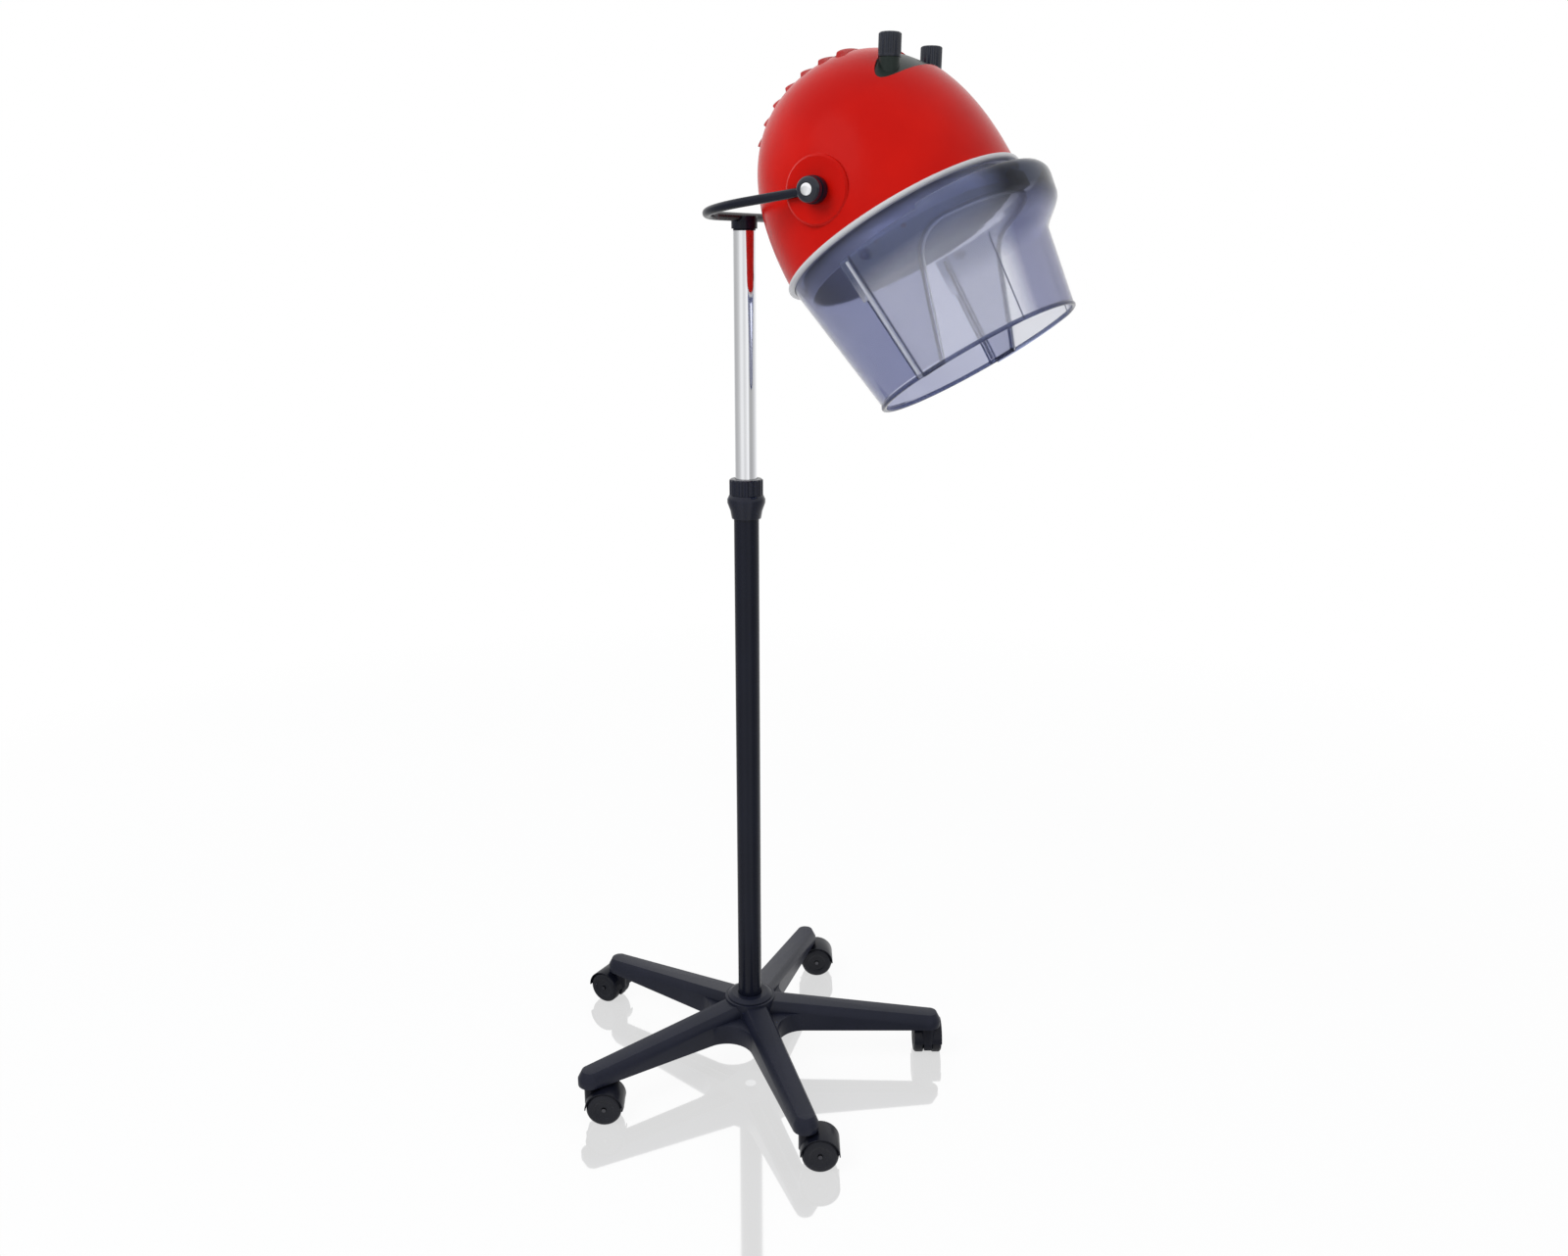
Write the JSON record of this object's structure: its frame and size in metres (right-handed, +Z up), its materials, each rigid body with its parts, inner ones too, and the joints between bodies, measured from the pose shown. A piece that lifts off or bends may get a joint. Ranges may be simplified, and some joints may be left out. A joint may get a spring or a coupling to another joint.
{
  "type": "hood hair dryer",
  "caption": "Floor-standing hood hair dryer: domed heater hood with flip-up visor in a swivelling yoke on a telescopic mast over a five-legged caster base.",
  "frame": {"origin": "on the floor under the mast's axis", "axes": "+Z up along the mast; -Y is the front, where the hood opens"},
  "size_m": [0.5804, 0.7622, 1.45],
  "materials": {
    "base_black": "satin",
    "mast_black": "gloss",
    "chrome": "polished",
    "steel": "satin",
    "nylon": "matte",
    "collar_black": "satin",
    "hood_red": "gloss",
    "panel_dark": "satin",
    "knob_black": "gloss",
    "ring_pale": "gloss",
    "smoked_blue": "gloss",
    "visor_blue": "gloss",
    "bowl_aluminium": "satin",
    "caster_black": "satin",
    "wheel_black": "satin",
    "catch_dark": "satin",
    "mica": "matte",
    "heater_wire": "satin"
  },
  "bodies": {
    "base": {"base_star": "base_black", "hub_cover": "base_black", "lower_tube": "mast_black", "tube_end_plug": "steel", "base_bolt": "steel", "collar_body": "collar_black", "collar_collet": "nylon"},
    "clamp": {"clamp_nut": "collar_black"},
    "mast": {"chrome_tube": "chrome", "tube_guide_bush": "nylon", "top_bush": "collar_black"},
    "yoke_arm": {"yoke": "mast_black", "yoke_spigot": "steel"},
    "hood": {"outer_shell": "hood_red", "vent_louvres": "hood_red", "control_panel": "panel_dark", "timer_switch": "nylon", "heat_switch": "nylon", "trim_ring": "ring_pale", "inner_bowl": "bowl_aluminium", "bowl_collar": "bowl_aluminium", "motor_bracket": "steel", "fan_motor": "steel", "heater_ring": "mica", "heater_coil": "heater_wire", "thermostat": "nylon", "terminal_block": "nylon", "cable_gland": "collar_black", "skirt": "smoked_blue", "visor_catch": "catch_dark", "visor_pins": "smoked_blue", "pivot_bolts": "steel", "friction_washers": "nylon"},
    "visor_flap": {"visor": "visor_blue"},
    "fan": {"fan_shaft": "steel", "fan_impeller": "nylon"},
    "left_knob": {"tilt_knob_left": "knob_black"},
    "right_knob": {"tilt_knob_right": "knob_black"},
    "timer_dial": {"timer_knob": "knob_black"},
    "heat_dial": {"heat_knob": "knob_black"},
    "caster_1": {"caster_1_housing": "caster_black", "caster_1_pins": "steel"},
    "caster_1_left": {"caster_1_wheel_left": "wheel_black"},
    "caster_1_right": {"caster_1_wheel_right": "wheel_black"},
    "caster_2": {"caster_2_housing": "caster_black", "caster_2_pins": "steel"},
    "caster_2_left": {"caster_2_wheel_left": "wheel_black"},
    "caster_2_right": {"caster_2_wheel_right": "wheel_black"},
    "caster_3": {"caster_3_housing": "caster_black", "caster_3_pins": "steel"},
    "caster_3_left": {"caster_3_wheel_left": "wheel_black"},
    "caster_3_right": {"caster_3_wheel_right": "wheel_black"},
    "caster_4": {"caster_4_housing": "caster_black", "caster_4_pins": "steel"},
    "caster_4_left": {"caster_4_wheel_left": "wheel_black"},
    "caster_4_right": {"caster_4_wheel_right": "wheel_black"},
    "caster_5": {"caster_5_housing": "caster_black", "caster_5_pins": "steel"},
    "caster_5_left": {"caster_5_wheel_left": "wheel_black"},
    "caster_5_right": {"caster_5_wheel_right": "wheel_black"}
  },
  "joints": [
    {"name": "mast_height", "type": "slide", "parent": "base", "child": "mast", "axis": [0, 0, 1], "range_m": [-0.25, 0.12]},
    {"name": "clamp_turn", "type": "hinge", "parent": "base", "child": "clamp", "pos_m": [0, 0, 0.892], "axis": [0, 0, 1], "range_deg": [0, 180]},
    {"name": "yoke_swivel", "type": "hinge", "parent": "mast", "child": "yoke_arm", "pos_m": [0, 0, 1.2345], "axis": [0, 0, 1], "continuous": true},
    {"name": "hood_tilt", "type": "hinge", "parent": "yoke_arm", "child": "hood", "pos_m": [0, -0.184, 1.273], "axis": [-1, 0, 0], "range_deg": [-32, 43]},
    {"name": "visor_flip", "type": "hinge", "parent": "hood", "child": "visor_flap", "pos_m": [0, -0.24516, 1.20155], "axis": [-1, 0, 0], "range_deg": [0, 25]},
    {"name": "fan_spin", "type": "hinge", "parent": "hood", "child": "fan", "pos_m": [0, -0.14659, 1.35929], "axis": [0, 0.5299, 0.848], "continuous": true},
    {"name": "left_knob_turn", "type": "hinge", "parent": "hood", "child": "left_knob", "pos_m": [-0.17, -0.184, 1.273], "axis": [-1, 0, 0], "range_deg": [0, 180]},
    {"name": "right_knob_turn", "type": "hinge", "parent": "hood", "child": "right_knob", "pos_m": [0.17, -0.184, 1.273], "axis": [1, 0, 0], "range_deg": [0, 180]},
    {"name": "timer_turn", "type": "hinge", "parent": "hood", "child": "timer_dial", "pos_m": [0.06345, -0.23164, 1.41479], "axis": [0, -0.0175, 0.9998], "range_deg": [0, 300]},
    {"name": "heat_turn", "type": "hinge", "parent": "hood", "child": "heat_dial", "pos_m": [-0.06345, -0.23164, 1.41479], "axis": [0, -0.0175, 0.9998], "range_deg": [0, 120]},
    {"name": "caster_1_swivel", "type": "hinge", "parent": "base", "child": "caster_1", "pos_m": [0.1257, -0.24459, 0.05], "axis": [0, 0, 1], "continuous": true},
    {"name": "caster_1_left_roll", "type": "hinge", "parent": "caster_1", "child": "caster_1_left", "pos_m": [0.14336, -0.2352, 0.025], "axis": [-0.4695, 0.8829, 0], "continuous": true},
    {"name": "caster_1_right_roll", "type": "hinge", "parent": "caster_1", "child": "caster_1_right", "pos_m": [0.14336, -0.2352, 0.025], "axis": [-0.4695, 0.8829, 0], "continuous": true},
    {"name": "caster_2_swivel", "type": "hinge", "parent": "base", "child": "caster_2", "pos_m": [0.27146, 0.04397, 0.05], "axis": [0, 0, 1], "continuous": true},
    {"name": "caster_2_left_roll", "type": "hinge", "parent": "caster_2", "child": "caster_2_left", "pos_m": [0.28085, 0.02631, 0.025], "axis": [0.8829, 0.4695, 0], "continuous": true},
    {"name": "caster_2_right_roll", "type": "hinge", "parent": "caster_2", "child": "caster_2_right", "pos_m": [0.28085, 0.02631, 0.025], "axis": [0.8829, 0.4695, 0], "continuous": true},
    {"name": "caster_3_swivel", "type": "hinge", "parent": "base", "child": "caster_3", "pos_m": [0.04207, 0.27176, 0.05], "axis": [0, 0, 1], "continuous": true},
    {"name": "caster_3_left_roll", "type": "hinge", "parent": "caster_3", "child": "caster_3_left", "pos_m": [0.04277, 0.29175, 0.025], "axis": [-0.9994, 0.0349, 0], "continuous": true},
    {"name": "caster_3_right_roll", "type": "hinge", "parent": "caster_3", "child": "caster_3_right", "pos_m": [0.04277, 0.29175, 0.025], "axis": [-0.9994, 0.0349, 0], "continuous": true},
    {"name": "caster_4_swivel", "type": "hinge", "parent": "base", "child": "caster_4", "pos_m": [-0.24546, 0.12399, 0.05], "axis": [0, 0, 1], "continuous": true},
    {"name": "caster_4_left_roll", "type": "hinge", "parent": "caster_4", "child": "caster_4_left", "pos_m": [-0.23607, 0.10633, 0.025], "axis": [0.8829, 0.4695, 0], "continuous": true},
    {"name": "caster_4_right_roll", "type": "hinge", "parent": "caster_4", "child": "caster_4_right", "pos_m": [-0.23607, 0.10633, 0.025], "axis": [0.8829, 0.4695, 0], "continuous": true},
    {"name": "caster_5_swivel", "type": "hinge", "parent": "base", "child": "caster_5", "pos_m": [-0.19377, -0.19513, 0.05], "axis": [0, 0, 1], "continuous": true},
    {"name": "caster_5_left_roll", "type": "hinge", "parent": "caster_5", "child": "caster_5_left", "pos_m": [-0.18438, -0.21279, 0.025], "axis": [0.8829, 0.4695, 0], "continuous": true},
    {"name": "caster_5_right_roll", "type": "hinge", "parent": "caster_5", "child": "caster_5_right", "pos_m": [-0.18438, -0.21279, 0.025], "axis": [0.8829, 0.4695, 0], "continuous": true}
  ]
}
